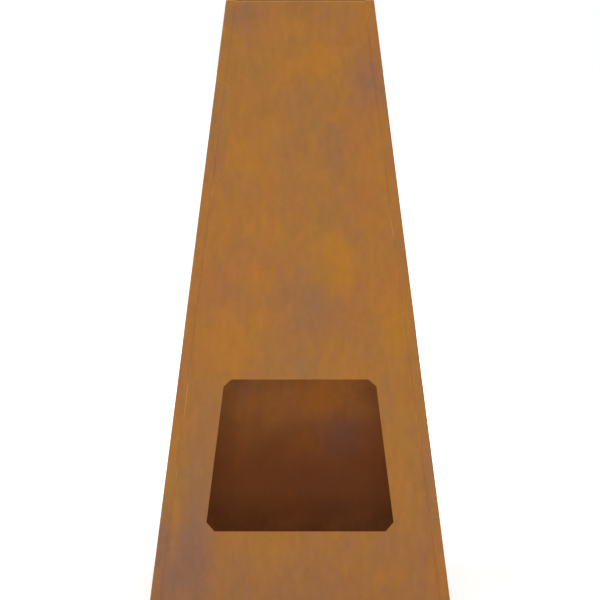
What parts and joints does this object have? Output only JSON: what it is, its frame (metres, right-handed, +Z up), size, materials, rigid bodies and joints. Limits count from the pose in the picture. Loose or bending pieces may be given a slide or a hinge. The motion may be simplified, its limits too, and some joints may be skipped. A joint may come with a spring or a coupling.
{
  "type": "fire pit",
  "caption": "Tapered square fire pit of rusted folded sheet steel with a low clipped-corner mouth, an open rim as its flue, a hearth plate on rails and a lift-out bar grate.",
  "frame": {"origin": "middle of the square footprint, on the ground", "axes": "+Z up along the height, -Y out of the front through the mouth, +X to the right seen from the front"},
  "size_m": [0.5, 0.5, 1],
  "materials": {
    "weathering_steel": "matte",
    "rail_steel": "matte",
    "hearth_steel": "matte",
    "grate_steel": "matte",
    "fastener_steel": "satin"
  },
  "bodies": {
    "casing": {"front_panel": "weathering_steel", "back_panel": "weathering_steel", "left_panel": "weathering_steel", "right_panel": "weathering_steel", "left_hearth_rail": "rail_steel", "right_hearth_rail": "rail_steel", "hearth_plate": "hearth_steel", "bolt_front_left_1": "fastener_steel", "bolt_front_left_2": "fastener_steel", "bolt_front_left_3": "fastener_steel", "bolt_front_left_4": "fastener_steel", "bolt_front_right_1": "fastener_steel", "bolt_front_right_2": "fastener_steel", "bolt_front_right_3": "fastener_steel", "bolt_front_right_4": "fastener_steel", "bolt_back_left_1": "fastener_steel", "bolt_back_left_2": "fastener_steel", "bolt_back_left_3": "fastener_steel", "bolt_back_left_4": "fastener_steel", "bolt_back_right_1": "fastener_steel", "bolt_back_right_2": "fastener_steel", "bolt_back_right_3": "fastener_steel", "bolt_back_right_4": "fastener_steel", "nut_front_left_1": "fastener_steel", "nut_front_left_2": "fastener_steel", "nut_front_left_3": "fastener_steel", "nut_front_left_4": "fastener_steel", "nut_front_right_1": "fastener_steel", "nut_front_right_2": "fastener_steel", "nut_front_right_3": "fastener_steel", "nut_front_right_4": "fastener_steel", "nut_back_left_1": "fastener_steel", "nut_back_left_2": "fastener_steel", "nut_back_left_3": "fastener_steel", "nut_back_left_4": "fastener_steel", "nut_back_right_1": "fastener_steel", "nut_back_right_2": "fastener_steel", "nut_back_right_3": "fastener_steel", "nut_back_right_4": "fastener_steel"},
    "grate": {"grate_rod_1": "grate_steel", "grate_rod_2": "grate_steel", "grate_rod_3": "grate_steel", "grate_rod_4": "grate_steel", "grate_rod_5": "grate_steel", "grate_rod_6": "grate_steel", "grate_rod_7": "grate_steel", "grate_rod_8": "grate_steel", "grate_cross_bar_front": "grate_steel", "grate_cross_bar_back": "grate_steel", "grate_foot_front_left": "grate_steel", "grate_foot_front_right": "grate_steel", "grate_foot_back_left": "grate_steel", "grate_foot_back_right": "grate_steel"}
  },
  "joints": [
    {"name": "grate_lift_out", "type": "slide", "parent": "casing", "child": "grate", "axis": [0, -0.829, 0.5592], "range_m": [0, 0.42]}
  ]
}
